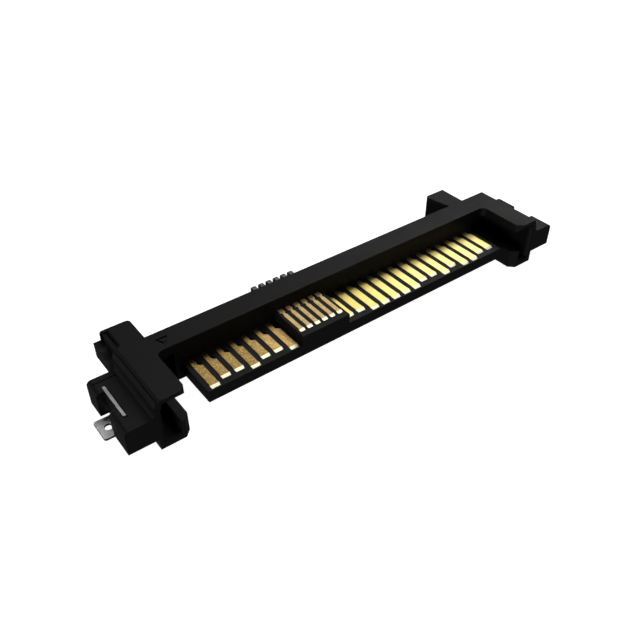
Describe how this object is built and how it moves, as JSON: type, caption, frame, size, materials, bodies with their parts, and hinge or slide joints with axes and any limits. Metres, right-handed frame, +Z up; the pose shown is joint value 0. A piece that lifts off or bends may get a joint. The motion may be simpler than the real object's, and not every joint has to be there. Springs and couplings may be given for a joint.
{
  "type": "board connector plug",
  "caption": "Right-angle board plug with a gold-contact tongue between two guide arms, ears with solder-down board locks, and bent solder tails behind.",
  "frame": {"origin": "middle of the plug's length and depth, at the flat bottoms of the two guide blocks it rests on", "axes": "+X along the contact row towards the power contacts, +Y back towards the solder tails, +Z up, away from the circuit board"},
  "size_m": [0.0488, 0.0102, 0.0049],
  "materials": {
    "housing_plastic": "fine matte black moulding",
    "signal_gold": "dull sandy gold plating with a fine grain",
    "sideband_gold": "soft peach gold plating",
    "power_gold": "bright gold plating",
    "lower_gold": "gold plating",
    "tin_plate": "matte tin plating"
  },
  "bodies": {
    "root": {"housing": "housing_plastic", "hold_down_left": "tin_plate", "hold_down_right": "tin_plate", "signal_contact_1": "signal_gold", "signal_contact_2": "signal_gold", "signal_contact_3": "signal_gold", "signal_contact_4": "signal_gold", "signal_contact_5": "signal_gold", "signal_contact_6": "signal_gold", "signal_contact_7": "signal_gold", "sideband_contact_1": "sideband_gold", "sideband_contact_2": "sideband_gold", "sideband_contact_3": "sideband_gold", "sideband_contact_4": "sideband_gold", "sideband_contact_5": "sideband_gold", "sideband_contact_6": "sideband_gold", "power_contact_1": "power_gold", "power_contact_2": "power_gold", "power_contact_3": "power_gold", "power_contact_4": "power_gold", "power_contact_5": "power_gold", "power_contact_6": "power_gold", "power_contact_7": "power_gold", "power_contact_8": "power_gold", "power_contact_9": "power_gold", "power_contact_10": "power_gold", "power_contact_11": "power_gold", "power_contact_12": "power_gold", "power_contact_13": "power_gold", "power_contact_14": "power_gold", "power_contact_15": "power_gold", "lane_contacts_left": "lower_gold", "lower_signal_contacts": "lower_gold", "lane_contacts_middle": "lower_gold", "lane_contacts_right": "lower_gold"}
  },
  "joints": []
}
